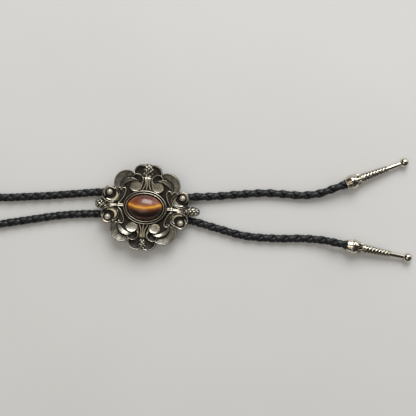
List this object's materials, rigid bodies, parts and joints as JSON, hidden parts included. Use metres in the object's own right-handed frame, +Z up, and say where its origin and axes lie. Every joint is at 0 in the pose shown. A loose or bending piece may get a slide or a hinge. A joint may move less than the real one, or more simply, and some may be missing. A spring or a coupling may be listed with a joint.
{
  "type": "bolo tie",
  "caption": "Braided leather cord necktie with a cast oval slide, a set cabochon and turned metal cord tips, lying in a loop.",
  "frame": {"origin": "centre of the back clip's underside, under the middle of the slide, on the surface that the bolo tie lies on", "axes": "+X along the slide's long axis from the neck loop towards the cord tips, +Z up out of the slide's face"},
  "size_m": [0.4573, 0.1488, 0.0146],
  "materials": {
    "antique_silver": "cast white metal with an antique silver finish, dark in the recesses",
    "tiger_eye": "polished banded stone, golden brown",
    "plain_steel": "plain sheet metal",
    "black_leather": "braided black leather, satin",
    "nickel_silver": "bright silver plate"
  },
  "bodies": {
    "root": {"slide_casting": "antique_silver", "cabochon": "tiger_eye", "back_clip": "plain_steel", "neck_loop": "black_leather", "tail_upper": "black_leather", "tail_lower": "black_leather", "tip_upper": "nickel_silver", "tip_lower": "nickel_silver"}
  },
  "joints": []
}
